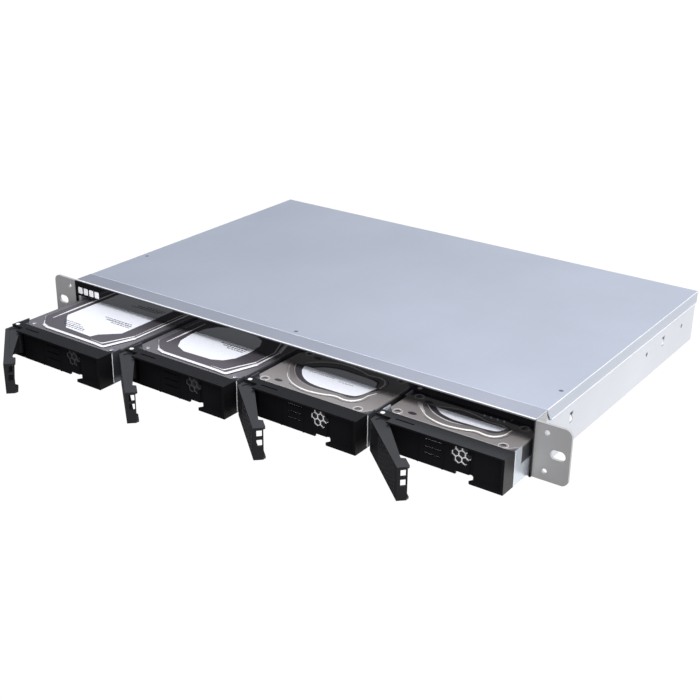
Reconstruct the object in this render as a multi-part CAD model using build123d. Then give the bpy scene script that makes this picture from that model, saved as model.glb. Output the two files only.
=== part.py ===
from build123d import *
import math
import os

# A rack-mount network storage unit: a shallow sheet-metal chassis, one rack unit
# high, with drive trays in its front and power, fans and ports at its rear.
# Millimetres. X is to the right seen from the front, Y runs from front to rear
# and Z is up. The origin is the middle of the two rack-ear slots, on the front
# face of the ears. Heights in this file are measured from the chassis bottom and
# shifted once, in block() and its relatives.

# --- overall size ---
HEIGHT = 43.5
BODY_HALF = 215.0
DEPTH = 292.0
HALF_HEIGHT = HEIGHT / 2
STEEL = 1.0
FLOOR = 1.2

# --- rack ears ---
EAR_OUTER = 241.3
EAR_INNER = 214.0
EAR_THICK = 2.0
EAR_LOW = 0.6
EAR_HIGH = 42.3
EAR_CORNER = 5.0
EAR_LEG_END = 16.3
SLOT_X = 232.55
SLOT_LENGTH = 11.0
SLOT_WIDTH = 7.0
KNOB_HOLE_X = 223.8
KNOB_HOLE_R = 1.9
KNOB_HOLE_OFFSET = 14.2

# --- chassis sheet metal ---
SIDE_OUTER = 214.0
SIDE_INNER = SIDE_OUTER - STEEL
SIDE_FRONT = 2.1
PAN_FRONT = 0.3
CUT = 1.0  # how far a cutter runs past the face it cuts
COVER_FRONT = 16.6
COVER_GAP = 0.3
CROSS_LIP_BACK = 12.0
FLANGE_LOW = 33.0
FLANGE_THICK = 0.8
FLANGE_FRONT = 17.4
FLANGE_SLANT = 6.0
COVER_EDGE_R = 0.54
LIP_INSET = 4.0
ROOF = HEIGHT - STEEL
REAR_FACE = 291.0
REAR_THICK = 1.2
REAR_LIP_LOW = 36.5
SIDE_HOLE_Z = 21.0
SIDE_HOLE_R = 1.75
SIDE_HOLES_Y = (191.4, 264.0)
SIDE_LANCES_Y = (58.4, 225.0)
LANCE = (5.0, 8.0)
STRIP_LOW = 30.7
STRIP_FRONT = -1.8
STRIP_BACK = -0.05
STRIP_HIGH = 42.9
STRIP_END_INNER = 213.6
BEND = 0.9

# --- drive bays and trays ---
BAYS = 4
PITCH = 107.0
TRAY_WIDTH = 104.0
PULLS = (79.5, 60.5, 48.5, 35.5)
TRAY_LOW = 1.5
TRAY_HIGH = 27.6
TOP_WALL_LOW = 26.3
BEZEL_DEPTH = 14.0
RECESS = 6.6
RECESS_THICK = 1.8
LEDGE_LOW = 23.2
LEDGE_HIGH = 24.0
ARM_BACK = 11.8
WALL = 1.6
HINGE_GAP = 0.3
POCKET_END = 13.5
POCKET_WALL = 1.8
POCKET_BACK = 13.0
ARM_SLOT = (16.0, 31.0, 6.4, 7.8)
RIBS_X = (35.0, 54.6)
RIB = 0.5
VENTS_X = (39.5, 53.0)
VENTS_Z = (9.5, 14.6, 20.2)
VENT_HALF = 0.6
LIP_START = 77.9
LIP_HIGH = 3.2
STEP_X = 64.5
STEP_Z = 3.9
RIGHT_WALL = 101.8
END_GROOVE = (75.1, 77.7, 7.6)
CELLS_X = 68.0
CELLS_Z = 16.5
CELL_PITCH = 5.0
CELL_ROWS = ((-1, 2), (0, 3), (1, 2))
CELL_R = 2.48
CELL_OPENING_R = 3.0
SCREEN_THICK = 0.5
SCREEN_TAB = (59.2, 76.8, 23.9)
CARRIER_END = 168.0
CARRIER_SHEET = 0.9
CARRIER_FLOOR = 0.6
CARRIER_RAIL_HIGH = 13.7
CARRIER_INSET = 0.15
CARRIER_FLOOR_END = 160.0
CARRIER_WINDOW = (34.0, 20.0)
CARRIER_WINDOW_START = (16.0, 28.0)
CARRIER_WINDOW_STEP = (38.0, 32.0)
WING_END = 24.0
WING_HIGH = 27.2

# --- lever, drawn closed and then swung open about its pin ---
PIVOT_X = 3.6
PIVOT_Y = 9.8
BARREL_R = 3.0
PIN_R = 1.0
PIN_CLEARANCE = 0.05
LEVER_OPEN = 41.5
LEVER_LOW = 1.6
LEVER_HIGH = 26.0
LEVER_SKIN = 1.8
LEVER_START = 8.0
LEVER_TIP = 77.3
ARM_HIGH = 25.4
ARM_LOW = 24.2
PLATE_LOW = 3.5
SOLE_HIGH = 3.2
HOOK_X = 66.5
HOOK_Y = 8.75
END_DEPTH = 7.2
END_WINDOW_Y = (2.4, 6.4)
END_WINDOWS_Z = (11.8, 18.8)
END_WINDOW_HIGH = 5.0

# --- 3.5-inch drive ---
DRIVE_WIDTH = 101.6
DRIVE_LENGTH = 147.0
DRIVE_FRONT = 14.6
DRIVE_LOW = 2.15
DRIVE_HIGH = 27.5
LID_LOW = 24.9
LID_STEP = 26.3
DRIVE_CHAMFER = 7.5
DRIVE_PLUG = (30.0, 74.0, 8.0, 7.5)
LID_MARGIN = 0.4
BULGE_MARGIN = 7.0
BULGE_CORNER = 16.0

# --- rear compartment ---
BACKPLANE_Y = 172.5
BACKPLANE = (211.0, 3.0, 40.0)
BACKPLANE_VENTS = 20
BACKPLANE_VENT_STEP = 20.4
BACKPLANE_VENT = (13.0, 20.0, 36.0)
SOCKET_HALF = 21.0
SOCKET_Z = (3.2, 8.8)
SOCKET_SLOT_Z = (5.0, 7.2)
BOARD = 1.6
MAINBOARD = (-206.0, 48.0, 180.0, 288.0)
MAINBOARD_LOW = 7.2
BOARD_TOP = MAINBOARD_LOW + BOARD
STANDOFF_R = 2.6
STANDOFF_INSET = 6.0
STANDOFF_BACK = 30.0
HEATSINK = (-150.0, -90.0, 200.0, 255.0)
HEATSINK_HIGH = 34.0
FIN_COUNT = 13
FIN_STEP = 4.9
FIN_THICK = 1.1
CHIP_THICK = 1.4
CHIP = (-138.0, -102.0, 210.0, 246.0)
MEMORY = (-67.0, 3.0, 210.2, 240.0)
MEMORY_SOCKET = (-70.0, 6.0, 205.0, 212.0)
PORT_FRONT = 270.0
JACKS_X = (30.0, 12.0)
JACK = (16.0, 13.4)
USB_X = (-10.0, -27.0)
USB = (14.0, 15.6)
SFP_X = (-50.0, -66.5)
SFP = (14.6, 10.0)
RESET_X = -90.0
RESET_Z = 16.0
RESET_R = 1.3
PORT_PROUD = 0.4
PORT_GAP = 0.1
BLANK = (-196.0, -112.0, 12.0, 31.0)
BLANK_LAP = 2.0
REAR_VENTS = 10
REAR_VENT_STEP = 13.0
REAR_VENT = (9.0, 29.5, 32.5)
PSU = (140.0, 211.0, 186.0, 289.7)
PSU_LOW = 1.3
PSU_HIGH = 41.5
INLET_X = 184.0
INLET_Z = 21.5
INLET = (27.0, 19.8)
INLET_GAP = 0.2
INLET_DEPTH = 21.0
INLET_PINS = ((-7.0, 1.6), (0.0, 4.4), (7.0, 1.6))
PSU_SHEET = 0.8
FANS_X = (112.0, 68.0)
FAN_Z = 21.7
FAN_SIZE = 40.0
FAN_FRONT = 269.7
FAN_BORE = 18.6
FAN_HUB = 8.6
FAN_BLADES = 7
FAN_SLOT_RADII = (7.0, 11.0, 15.0)
FAN_SLOT = (2.4, 8.0, 74.0)
BLADE_PITCH = 36.0
SHAFT_R = 1.5
SHAFT_CLEARANCE = 0.05

# --- front controls ---
BUTTON_X = 201.0
BUTTON_Z = 35.5
BUTTON_R = 3.6
BUTTON_GAP = 0.25
BUTTON_STEM_R = 2.3
BUTTON_CAP_BACK = -1.4
INDICATOR_BOARD = (170.0, 210.0, 6.0, 32.2, 41.0)
SWITCH_HALF = 2.6
PIPES_X = tuple(178.0 + 5.0 * i for i in range(4))
PIPE_R = 0.8
PIPE_GAP = 0.1
SCREW_R = 1.5
SCREW_HEAD_R = 3.0
SCREW_HEAD = 1.8
SCREW_RECESS = (2.0, 0.4, 0.9)
COVER_SCREWS_X = (-150.0, 0.0, 138.0)
COVER_SCREW_Z = 39.4


def block(x0, x1, y0, y1, z0, z1):
    """Box between two corners, heights from the chassis bottom."""
    box = Box(x1 - x0, y1 - y0, z1 - z0)
    return Pos((x0 + x1) / 2, (y0 + y1) / 2, (z0 + z1) / 2 - HALF_HEIGHT) * box


def post(x, y, z0, z1, radius):
    """Upright cylinder."""
    return Pos(x, y, (z0 + z1) / 2 - HALF_HEIGHT) * Cylinder(radius, z1 - z0)


def rod(x, z, y0, y1, radius):
    """Cylinder along Y."""
    return Pos(x, (y0 + y1) / 2, z - HALF_HEIGHT) * Rot(X=90) * Cylinder(radius, y1 - y0)


def cross_rod(x0, x1, y, z, radius):
    """Cylinder along X."""
    return Pos((x0 + x1) / 2, y, z - HALF_HEIGHT) * Rot(Y=90) * Cylinder(radius, x1 - x0)


def prism(points, z0, z1):
    """Upright prism on a plan outline."""
    face = make_face(Polyline(*points, close=True))
    return Pos(0, 0, z0 - HALF_HEIGHT) * extrude(face, z1 - z0)


def hexagon_rod(x, z, y0, y1, radius):
    """Six-sided hole cutter along Y, with a corner at its top."""
    face = Plane.XZ * RegularPolygon(radius, 6, rotation=30)
    return Pos(x, y1, z - HALF_HEIGHT) * extrude(face, y1 - y0)


def save(name, *solids):
    """Write one node; several solids make a group."""
    shape = solids[0] if len(solids) == 1 else Compound(children=list(solids))
    shape.label = name
    export_step(shape, f"parts/{name}.step")


def mirror_x(shape):
    """The same shape on the other side of the chassis."""
    return mirror(shape, about=Plane.YZ)


# ---------------------------------------------------------------- chassis
def side_features(x0, x1):
    """Holes and lanced slots of one side wall, as cutters."""
    cuts = [cross_rod(x0, x1, y, SIDE_HOLE_Z, SIDE_HOLE_R) for y in SIDE_HOLES_Y]
    half_y = LANCE[0] / 2
    half_z = LANCE[1] / 2
    for y in SIDE_LANCES_Y:
        cuts.append(block(x0, x1, y - half_y, y + half_y, SIDE_HOLE_Z - half_z, SIDE_HOLE_Z + half_z))
    return cuts


def chassis_pan():
    """Floor and both side walls, folded from one sheet."""
    pan = block(-SIDE_OUTER, SIDE_OUTER, PAN_FRONT, REAR_FACE, 0, FLOOR)
    side = block(SIDE_INNER, SIDE_OUTER, SIDE_FRONT, REAR_FACE, 0, ROOF)
    for cutter in side_features(SIDE_INNER - CUT, SIDE_OUTER + CUT):
        side -= cutter
    return pan + side + mirror_x(side)


def right_ear():
    """Rack ear: a slotted plate with a leg welded along the chassis side."""
    leg = block(SIDE_OUTER, SIDE_OUTER + STEEL, EAR_THICK, EAR_LEG_END, EAR_LOW, EAR_HIGH)
    plate = block(EAR_INNER, EAR_OUTER, 0, EAR_THICK, EAR_LOW, EAR_HIGH)
    outer_edges = plate.edges().filter_by(Axis.Y).group_by(Axis.X)[-1]
    plate = fillet(outer_edges, EAR_CORNER)
    reach = (SLOT_LENGTH - SLOT_WIDTH) / 2
    radius = SLOT_WIDTH / 2
    y0 = -CUT
    y1 = EAR_THICK + CUT
    plate -= block(SLOT_X - reach, SLOT_X + reach, y0, y1, HALF_HEIGHT - radius, HALF_HEIGHT + radius)
    for x in (SLOT_X - reach, SLOT_X + reach):
        plate -= rod(x, HALF_HEIGHT, y0, y1, radius)
    for offset in (-KNOB_HOLE_OFFSET, KNOB_HOLE_OFFSET):
        plate -= rod(KNOB_HOLE_X, HALF_HEIGHT + offset, y0, y1, KNOB_HOLE_R)
    return plate + leg


def front_crossmember():
    """Channel across the top front, pierced for the button and the light pipes."""
    roof = block(-BODY_HALF, BODY_HALF, 0, COVER_FRONT - COVER_GAP, ROOF, HEIGHT)
    front_edge = roof.edges().filter_by(Axis.X).group_by(Axis.Z)[-1].sort_by(Axis.Y)[0]
    roof = fillet(front_edge, BEND)
    wall = block(-SIDE_INNER, SIDE_INNER, 0, STEEL, STRIP_LOW, ROOF)
    lip = block(-SIDE_INNER, SIDE_INNER, STEEL, CROSS_LIP_BACK, STRIP_LOW, STRIP_LOW + STEEL)
    shape = roof + wall + lip
    shape -= rod(BUTTON_X, BUTTON_Z, -CUT, STEEL + CUT, BUTTON_R - STEEL)
    for x in PIPES_X:
        shape -= rod(x, BUTTON_Z, -CUT, STEEL + CUT, PIPE_R + PIPE_GAP)
    return shape


def front_strip():
    """Glossy trim along the crossmember, with a narrow cheek down each end."""
    strip = block(-BODY_HALF, BODY_HALF, STRIP_FRONT, STRIP_BACK, STRIP_LOW, STRIP_HIGH)
    cheek = block(STRIP_END_INNER, BODY_HALF, STRIP_FRONT, STRIP_BACK, EAR_LOW, STRIP_LOW)
    shape = strip + cheek + mirror_x(cheek)
    shape -= rod(BUTTON_X, BUTTON_Z, STRIP_FRONT - CUT, STRIP_BACK + CUT, BUTTON_R + BUTTON_GAP)
    for x in PIPES_X:
        shape -= rod(x, BUTTON_Z, STRIP_FRONT - CUT, STRIP_BACK + CUT, PIPE_R + PIPE_GAP)
    return shape


def power_button():
    """Round cap on a stem that reaches the switch."""
    cap = rod(BUTTON_X, BUTTON_Z, STRIP_FRONT - COVER_GAP, BUTTON_CAP_BACK, BUTTON_R)
    stem = rod(BUTTON_X, BUTTON_Z, BUTTON_CAP_BACK, 4.0, BUTTON_STEM_R)
    return cap + stem


def light_pipes():
    """Four rods that carry the indicator lights to the strip."""
    back = INDICATOR_BOARD[2] - 0.4
    return [rod(x, BUTTON_Z, STRIP_FRONT, back, PIPE_R) for x in PIPES_X]


def indicator_board():
    """Small upright board with the power switch on its front."""
    x0, x1, y0, z0, z1 = INDICATOR_BOARD
    board = block(x0, x1, y0, y0 + BOARD, z0, z1)
    switch = block(BUTTON_X - SWITCH_HALF, BUTTON_X + SWITCH_HALF, y0 - 0.8, y0,
                   BUTTON_Z - SWITCH_HALF, BUTTON_Z + SWITCH_HALF)
    return board + switch


def top_cover():
    """Flat lid with a flange down each side and a screwed lip at the rear."""
    plate = block(-BODY_HALF, BODY_HALF, COVER_FRONT, DEPTH, ROOF, HEIGHT)
    plate = fillet(plate.edges().group_by(Axis.Z)[-1], COVER_EDGE_R)
    inner = BODY_HALF - FLANGE_THICK
    flange = block(inner, BODY_HALF, FLANGE_FRONT, REAR_FACE, FLANGE_LOW, ROOF)
    low = FLANGE_LOW - CUT - HALF_HEIGHT
    slant = Plane.YZ * make_face(Polyline(
        (FLANGE_FRONT - CUT, low),
        (FLANGE_FRONT + FLANGE_SLANT, low),
        (FLANGE_FRONT - CUT, ROOF - HALF_HEIGHT), close=True))
    flange -= Pos(inner - CUT, 0, 0) * extrude(slant, FLANGE_THICK + 2 * CUT)
    lip_end = BODY_HALF - LIP_INSET
    lip = block(-lip_end, lip_end, REAR_FACE + 0.1, DEPTH, REAR_LIP_LOW, ROOF)
    shape = plate + flange + mirror_x(flange) + lip
    for x in COVER_SCREWS_X:
        shape -= rod(x, COVER_SCREW_Z, REAR_FACE - CUT, DEPTH + CUT, SCREW_R + 0.15)
    return shape


def cover_screws():
    """Cross-recessed screws through the rear lip."""
    long, short, depth = SCREW_RECESS
    screws = []
    for x in COVER_SCREWS_X:
        z = COVER_SCREW_Z
        head = rod(x, z, DEPTH, DEPTH + SCREW_HEAD, SCREW_HEAD_R)
        head -= block(x - long, x + long, DEPTH + depth, DEPTH + 2, z - short, z + short)
        head -= block(x - short, x + short, DEPTH + depth, DEPTH + 2, z - long, z + long)
        shank = rod(x, z, REAR_FACE - 3.5, DEPTH, SCREW_R)
        screws.append(head + shank)
    return screws


def arc_slot(x, z, radius, width, start, sweep):
    """Curved vent slot around a fan centre, as a cutter along Y."""
    ring = Circle(radius + width / 2) - Circle(radius - width / 2)
    far = radius * 4
    wedge = make_face(Polyline(
        (0, 0),
        (far * math.cos(math.radians(start)), far * math.sin(math.radians(start))),
        (far * math.cos(math.radians(start + sweep)), far * math.sin(math.radians(start + sweep))),
        close=True))
    slot = extrude(Plane.XZ * (ring & wedge), REAR_THICK + 2)
    return Pos(x, REAR_FACE + 1, z - HALF_HEIGHT) * slot


def rear_panel():
    """Back wall with fan slots, vents and an opening for every port."""
    y0 = REAR_FACE - REAR_THICK
    panel = block(-SIDE_INNER, SIDE_INNER, y0, REAR_FACE, FLOOR, ROOF)
    cut0 = y0 - CUT
    cut1 = REAR_FACE + CUT
    width, start, sweep = FAN_SLOT
    for fan_x in FANS_X:
        for radius in FAN_SLOT_RADII:
            for quarter in range(4):
                panel -= arc_slot(fan_x, FAN_Z, radius, width, 90 * quarter + start, sweep)
    half_w = INLET[0] / 2 + INLET_GAP
    half_h = INLET[1] / 2 + INLET_GAP
    panel -= block(INLET_X - half_w, INLET_X + half_w, cut0, cut1, INLET_Z - half_h, INLET_Z + half_h)
    for places, size in ((JACKS_X, JACK), (USB_X, USB), (SFP_X, SFP)):
        for x in places:
            panel -= block(x - size[0] / 2, x + size[0] / 2, cut0, cut1, BOARD_TOP, BOARD_TOP + size[1])
    panel -= rod(RESET_X, RESET_Z, cut0, cut1, RESET_R + 0.3)
    x0, x1, z0, z1 = BLANK
    panel -= block(x0 + BLANK_LAP, x1 - BLANK_LAP, cut0, cut1, z0 + BLANK_LAP, z1 - BLANK_LAP)
    for x in COVER_SCREWS_X:
        panel -= rod(x, COVER_SCREW_Z, cut0, cut1, SCREW_R)
    vent, low, high = REAR_VENT
    for i in range(REAR_VENTS):
        x = -100 + REAR_VENT_STEP * i
        panel -= block(x, x + vent, cut0, cut1, low, high)
    return panel


def bay_dividers():
    """Upright walls between the bays, each with a row of air holes."""
    half = 0.4
    walls = []
    for i in range(1, BAYS):
        x = (i - BAYS / 2) * PITCH
        wall = block(x - half, x + half, 16.0, 170.0, FLOOR, ROOF - 0.1)
        for j in range(5):
            wall -= cross_rod(x - CUT, x + CUT, 34.0 + 27.0 * j, 34.5, 3.5)
        walls.append(wall)
    return walls


# ---------------------------------------------------------------- trays
def cell_spots():
    """Centres of the honeycomb cells, in rows of two, three and two."""
    row_step = CELL_PITCH * math.sqrt(3) / 2
    spots = []
    for row, count in CELL_ROWS:
        first = CELLS_X - CELL_PITCH * (count - 1) / 2
        spots += [(first + CELL_PITCH * i, CELLS_Z + row * row_step) for i in range(count)]
    return spots


def bezel_frame():
    """Top wall, hinge pocket, right-hand wall and lower lip of the tray front."""
    back = BEZEL_DEPTH
    hinge_y = PIVOT_Y - BARREL_R
    frame = block(POCKET_END - RIB, TRAY_WIDTH, 0, back, TOP_WALL_LOW, TRAY_HIGH)
    frame += block(HINGE_GAP, POCKET_END, hinge_y, back, TOP_WALL_LOW, TRAY_HIGH)
    frame += block(HINGE_GAP, POCKET_END, hinge_y, back, TRAY_LOW, TRAY_LOW + WALL)
    frame += block(HINGE_GAP, POCKET_END + POCKET_WALL, POCKET_BACK, back, TRAY_LOW, TRAY_HIGH)
    frame += block(POCKET_END, POCKET_END + POCKET_WALL, RECESS, back, TRAY_LOW, LEDGE_HIGH)
    frame += block(RIGHT_WALL, TRAY_WIDTH, 0, back, TRAY_LOW, TRAY_HIGH)
    frame += prism([(LIP_START, 1.2), (LIP_START + 1.2, 0), (TRAY_WIDTH, 0), (TRAY_WIDTH, back),
                    (LIP_START + 3, back), (LIP_START + 3, RECESS)], TRAY_LOW, LIP_HIGH)
    return frame


def bezel():
    """Moulded tray front, in tray coordinates: x from its left edge, y from its face."""
    wall_back = RECESS + RECESS_THICK
    right = RIGHT_WALL + 1
    body = bezel_frame()
    body += block(POCKET_END, right, RECESS, wall_back, TRAY_LOW, LEDGE_HIGH)
    body += block(POCKET_END, LIP_START + 2, RECESS, ARM_BACK + WALL, LEDGE_LOW, LEDGE_HIGH)
    body += block(POCKET_END, LIP_START + 2, ARM_BACK, ARM_BACK + WALL, LEDGE_LOW, TRAY_HIGH)
    body += block(LIP_START + 1, right, RECESS - 1.2, wall_back, TRAY_LOW, TRAY_HIGH)
    body -= block(STEP_X, LIP_START + 1, RECESS - CUT, BEZEL_DEPTH - 0.6, 0, STEP_Z)
    for x in RIBS_X:
        body += block(x - RIB, x + RIB, RECESS - RIB, RECESS + RIB, TRAY_LOW, LEDGE_LOW)
    for z in VENTS_Z:
        body -= block(*VENTS_X, RECESS - CUT, wall_back + CUT, z - VENT_HALF, z + VENT_HALF)
    for x, z in cell_spots():
        body -= hexagon_rod(x, z, RECESS - CUT, wall_back, CELL_OPENING_R)
    x0, x1 = SCREEN_TAB[:2]
    body -= block(x0 - 0.1, x1 + 0.1, wall_back - 0.05, wall_back + SCREEN_THICK + 0.05,
                  LEDGE_LOW - CUT, LEDGE_HIGH)
    body -= block(*ARM_SLOT, TOP_WALL_LOW - CUT, TRAY_HIGH + CUT)
    body -= block(END_GROOVE[0], END_GROOVE[1], RECESS - CUT, END_GROOVE[2], 0, LEDGE_HIGH + 0.1)
    body -= post(PIVOT_X, PIVOT_Y, 0, HEIGHT, PIN_R)
    return body


def emi_screen():
    """Steel screen behind the recess wall, pierced as a honeycomb at the window."""
    y0 = RECESS + RECESS_THICK
    y1 = y0 + SCREEN_THICK
    screen = block(POCKET_END + 2.0, RIGHT_WALL, y0, y1, STEP_Z, LEDGE_LOW)
    x0, x1, high = SCREEN_TAB
    screen += block(x0, x1, y0, y1, LEDGE_LOW - CUT, high)
    for x, z in cell_spots():
        screen -= hexagon_rod(x, z, y0 - CUT, y1 + CUT, CELL_R)
    for z in VENTS_Z:
        screen -= block(VENTS_X[0] + 0.5, VENTS_X[1] - 0.5, y0 - CUT, y1 + CUT, z - 0.5, z + 0.5)
    return screen


def carrier():
    """Sheet-steel drive carrier: floor, low rails and full-height front wings."""
    x_end = TRAY_WIDTH - CARRIER_INSET
    floor = block(CARRIER_INSET, x_end, BEZEL_DEPTH, CARRIER_FLOOR_END, TRAY_LOW, TRAY_LOW + CARRIER_FLOOR)
    for i in range(4):
        for j in range(2):
            x0 = CARRIER_WINDOW_START[0] + CARRIER_WINDOW_STEP[0] * j
            y0 = CARRIER_WINDOW_START[1] + CARRIER_WINDOW_STEP[1] * i
            floor -= block(x0, x0 + CARRIER_WINDOW[0], y0, y0 + CARRIER_WINDOW[1], 0, 3)
    for x0 in (CARRIER_INSET, x_end - CARRIER_SHEET):
        x1 = x0 + CARRIER_SHEET
        floor += block(x0, x1, BEZEL_DEPTH, CARRIER_END, TRAY_LOW, CARRIER_RAIL_HIGH)
        floor += block(x0, x1, BEZEL_DEPTH, WING_END, TRAY_LOW, WING_HIGH)
    return floor


def drive_outline(margin, corner):
    """Plan outline of the drive, cut across at its front corners."""
    x0 = (TRAY_WIDTH - DRIVE_WIDTH) / 2 + margin
    x1 = TRAY_WIDTH - x0
    y0 = DRIVE_FRONT + margin
    y1 = DRIVE_FRONT + DRIVE_LENGTH - margin
    return [(x0 + corner, y0), (x1 - corner, y0), (x1, y0 + corner), (x1, y1), (x0, y1), (x0, y0 + corner)]


def drive_body():
    """Casting of the sealed drive, notched below for its plug."""
    x0 = (TRAY_WIDTH - DRIVE_WIDTH) / 2
    y1 = DRIVE_FRONT + DRIVE_LENGTH
    body = block(x0, TRAY_WIDTH - x0, DRIVE_FRONT, y1, DRIVE_LOW, LID_LOW)
    plug_x0, plug_x1, depth, high = DRIVE_PLUG
    body -= block(plug_x0, plug_x1, y1 - depth, y1 + CUT, 0, high)
    return body


def drive_lid():
    """Stepped lid of the drive."""
    base = prism(drive_outline(LID_MARGIN, DRIVE_CHAMFER), LID_LOW, LID_STEP)
    raised = prism(drive_outline(BULGE_MARGIN, BULGE_CORNER), LID_STEP, DRIVE_HIGH)
    return base + raised


def lever_profile():
    """The shapes of the lever in plan, drawn closed: outer plate, hooked flanges and arm."""
    skin = [(LEVER_START, 0), (LEVER_TIP, 0), (LEVER_TIP, LEVER_SKIN), (LEVER_START + 1.6, LEVER_SKIN)]
    hinge = [(PIVOT_X + BARREL_R * 0.9, PIVOT_Y), (PIVOT_X - BARREL_R * 0.8, PIVOT_Y - BARREL_R * 0.6)]
    hook = [(LEVER_TIP, 0), (LEVER_TIP + 0.5, 6.5), (LEVER_TIP - 1.3, HOOK_Y), (HOOK_X, HOOK_Y)]
    band = [(LEVER_START, 0)] + hook + [(HOOK_X - 2, 4.1), (LEVER_START - 1.8, 3.0)]
    sole = [(LEVER_START + 1, 0)] + hook + [(64.0, 6.0), (20, 5.0), (LEVER_START + 1, 3.0)]
    arm = [(LEVER_START, 2.5), (65, 3), (64, 6), (16.5, 10.9),
           (PIVOT_X, PIVOT_Y + BARREL_R), (PIVOT_X - 2, PIVOT_Y - 2)]
    return skin, hinge, band, sole, arm


def lever():
    """Pull lever: a channel with top and bottom flanges, a barrel and a pierced end."""
    skin, hinge, band, sole, arm = lever_profile()
    shape = prism(skin + hinge, PLATE_LOW, LEVER_HIGH)
    shape += prism(skin, LEVER_LOW, LEVER_LOW + 2)
    shape += post(PIVOT_X, PIVOT_Y, PLATE_LOW, LEVER_HIGH, BARREL_R)
    shape += prism(band, ARM_LOW, LEVER_HIGH)
    shape += prism(arm, ARM_LOW, ARM_HIGH)
    shape += prism(sole, LEVER_LOW, SOLE_HIGH)
    end = block(LEVER_TIP - LEVER_SKIN, LEVER_TIP, 0, END_DEPTH, LEVER_LOW, LEVER_HIGH)
    for z in END_WINDOWS_Z:
        end -= block(LEVER_TIP - 3, LEVER_TIP + CUT, *END_WINDOW_Y, z, z + END_WINDOW_HIGH)
    shape += end
    shape -= post(PIVOT_X, PIVOT_Y, 0, HEIGHT, PIN_R + PIN_CLEARANCE)
    swing = Pos(PIVOT_X, PIVOT_Y, 0) * Rot(Z=-LEVER_OPEN) * Pos(-PIVOT_X, -PIVOT_Y, 0)
    return swing * shape


def hinge_pin():
    return post(PIVOT_X, PIVOT_Y, TRAY_LOW + 0.1, TRAY_HIGH + 0.1, PIN_R)


def write_tray(number):
    """Every node of one tray, placed where it stands part-way out."""
    left = (number - 1 - BAYS / 2) * PITCH + (PITCH - TRAY_WIDTH) / 2
    place = Pos(left, -PULLS[number - 1], 0)
    makers = {"bezel": bezel, "emi_screen": emi_screen, "carrier": carrier,
              "drive_body": drive_body, "drive_lid": drive_lid, "lever": lever, "hinge_pin": hinge_pin}
    for name, maker in makers.items():
        save(f"tray{number}_{name}", place * maker())


# ---------------------------------------------------------------- inside
def backplane_board():
    """Upright board behind the bays, cut away for the air."""
    half, low, high = BACKPLANE
    width, vent_low, vent_high = BACKPLANE_VENT
    board = block(-half, half, BACKPLANE_Y, BACKPLANE_Y + BOARD, low, high)
    for i in range(BACKPLANE_VENTS):
        x = -198 + BACKPLANE_VENT_STEP * i
        board -= block(x, x + width, BACKPLANE_Y - CUT, BACKPLANE_Y + BOARD + CUT, vent_low, vent_high)
    return board


def drive_sockets():
    """Data and power sockets that the drives plug into."""
    slot_half = SOCKET_HALF - 2
    sockets = []
    for i in range(BAYS):
        x = (i + 0.5 - BAYS / 2) * PITCH
        socket = block(x - SOCKET_HALF, x + SOCKET_HALF, BACKPLANE_Y - 8, BACKPLANE_Y, *SOCKET_Z)
        socket -= block(x - slot_half, x + slot_half, BACKPLANE_Y - 9, BACKPLANE_Y - 3, *SOCKET_SLOT_Z)
        sockets.append(socket)
    return sockets


def mainboard():
    """Main circuit board with the reset switch soldered to it."""
    x0, x1, y0, y1 = MAINBOARD
    board = block(x0, x1, y0, y1, MAINBOARD_LOW, BOARD_TOP)
    for x, y in standoff_spots():
        board -= post(x, y, 0, 20, SCREW_R)
    switch_y = REAR_FACE - INLET_DEPTH
    half = 4.0
    board += block(RESET_X - half, RESET_X + half, switch_y, switch_y + 5.8, BOARD_TOP, RESET_Z + 3.5)
    return board


def standoff_spots():
    x0, x1, y0, y1 = MAINBOARD
    columns = (x0 + STANDOFF_INSET, (x0 + x1) / 2, x1 - STANDOFF_INSET)
    return [(x, y) for x in columns for y in (y0 + STANDOFF_INSET, y1 - STANDOFF_BACK)]


def board_standoffs():
    """Threaded pillars, each with the screw that holds the board down on it."""
    pillars = []
    for x, y in standoff_spots():
        pillar = post(x, y, FLOOR, MAINBOARD_LOW, STANDOFF_R)
        pillar += post(x, y, MAINBOARD_LOW, BOARD_TOP, SCREW_R)
        pillar += post(x, y, BOARD_TOP, BOARD_TOP + 1.6, SCREW_HEAD_R)
        pillars.append(pillar)
    return pillars


def heatsink():
    """Finned block over the processor."""
    x0, x1, y0, y1 = HEATSINK
    foot = BOARD_TOP + CHIP_THICK
    sink = block(x0, x1, y0, y1, foot, foot + 3)
    for i in range(FIN_COUNT):
        x = x0 + 1 + FIN_STEP * i
        sink += block(x, x + FIN_THICK, y0, y1, foot + 3, HEATSINK_HIGH)
    return sink


def processor():
    return block(*CHIP, BOARD_TOP, BOARD_TOP + CHIP_THICK)


def memory_socket():
    """Socket that holds the memory module flat above the board."""
    x0, x1, y0, y1 = MEMORY_SOCKET
    socket = block(x0, x1, y0, y1, BOARD_TOP, BOARD_TOP + 5.0)
    socket -= block(x0 + 2, x1 - 2, y1 - 2, y1 + CUT, BOARD_TOP + 2.2, BOARD_TOP + 3.6)
    return socket


def memory_module():
    """Memory card with four chips on it."""
    x0, x1, y0, y1 = MEMORY
    low = BOARD_TOP + 2.4
    module = block(x0, x1, y0, y1, low, low + 1.0)
    for i in range(4):
        x = x0 + 4 + 17 * i
        module += block(x, x + 11, 216, 234, low + 1.0, low + 2.2)
    return module


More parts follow.
